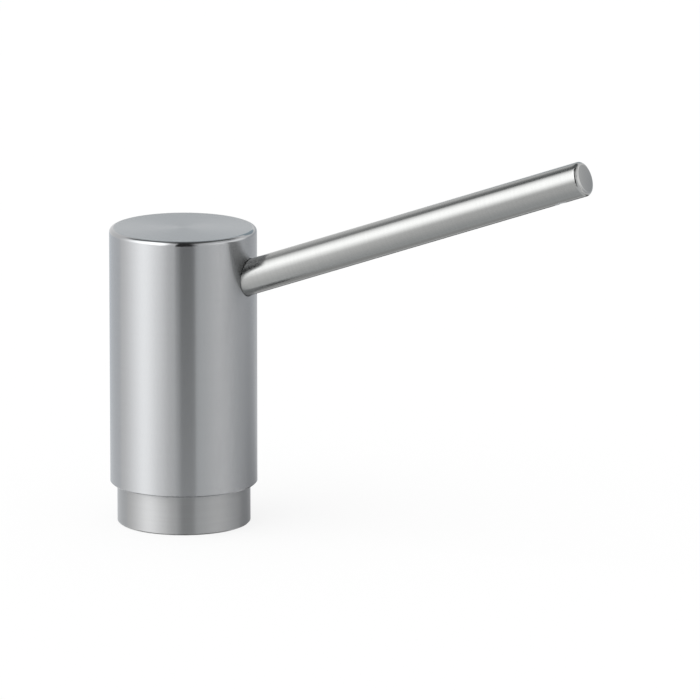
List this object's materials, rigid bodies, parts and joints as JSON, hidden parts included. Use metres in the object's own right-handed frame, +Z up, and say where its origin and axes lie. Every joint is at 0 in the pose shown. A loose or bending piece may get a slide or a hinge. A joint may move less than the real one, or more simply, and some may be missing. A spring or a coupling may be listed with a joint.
{
  "type": "soap dispenser",
  "caption": "Worktop soap dispenser: a round push head that slides on a collar, a straight rising rod spout that swivels with it, a spring pump inside and a threaded shank below.",
  "frame": {"origin": "where the head's vertical axis meets the worktop's top face, in the middle of the collar's underside", "axes": "+Z up along the head's axis, +X along the spout's direction seen from above"},
  "size_m": [0.1488, 0.046, 0.1648],
  "materials": {
    "satin_steel": "satin turned stainless steel",
    "bright_steel": "bright steel",
    "spring_steel": "drawn wire",
    "nut_brass": "machined brass",
    "white_plastic": "moulded",
    "grey_plastic": "moulded",
    "seal_rubber": "matt rubber"
  },
  "bodies": {
    "base": {"base_collar": "satin_steel", "lower_guide_ring": "white_plastic", "upper_guide_ring": "white_plastic", "deck_gasket": "seal_rubber", "shank": "bright_steel", "clamp_pad": "seal_rubber", "clamp_washer": "bright_steel", "lock_nut": "nut_brass", "pump_gasket": "seal_rubber", "pump_cylinder": "white_plastic", "pump_cap": "grey_plastic", "stem_wiper": "seal_rubber", "return_spring": "spring_steel", "inlet_valve": "grey_plastic"},
    "plunger": {"stem": "grey_plastic", "piston": "white_plastic", "piston_seal": "seal_rubber"},
    "head": {"head_shell": "satin_steel", "spout": "satin_steel", "head_core": "white_plastic", "core_ring": "spring_steel", "spout_seal": "seal_rubber", "outlet_nozzle": "grey_plastic", "stem_seal": "seal_rubber"},
    "inlet_ball": {"inlet_ball": "bright_steel"},
    "outlet_ball": {"outlet_ball": "bright_steel"}
  },
  "joints": [
    {"name": "head_press", "type": "slide", "parent": "base", "child": "plunger", "axis": [0, 0, -1], "range_m": [0, 0.01], "stiffness_N_per_m": 800, "springref_m": -0.012, "deforming": ["return_spring"]},
    {"name": "head_swivel", "type": "hinge", "parent": "plunger", "child": "head", "pos_m": [0, 0, 0.0455], "axis": [0, 0, 1], "continuous": true},
    {"name": "inlet_ball_lift", "type": "slide", "parent": "base", "child": "inlet_ball", "axis": [0, 0, 1], "range_m": [0, 0.0015]},
    {"name": "outlet_ball_lift", "type": "slide", "parent": "plunger", "child": "outlet_ball", "axis": [0, 0, 1], "range_m": [0, 0.0012]}
  ]
}
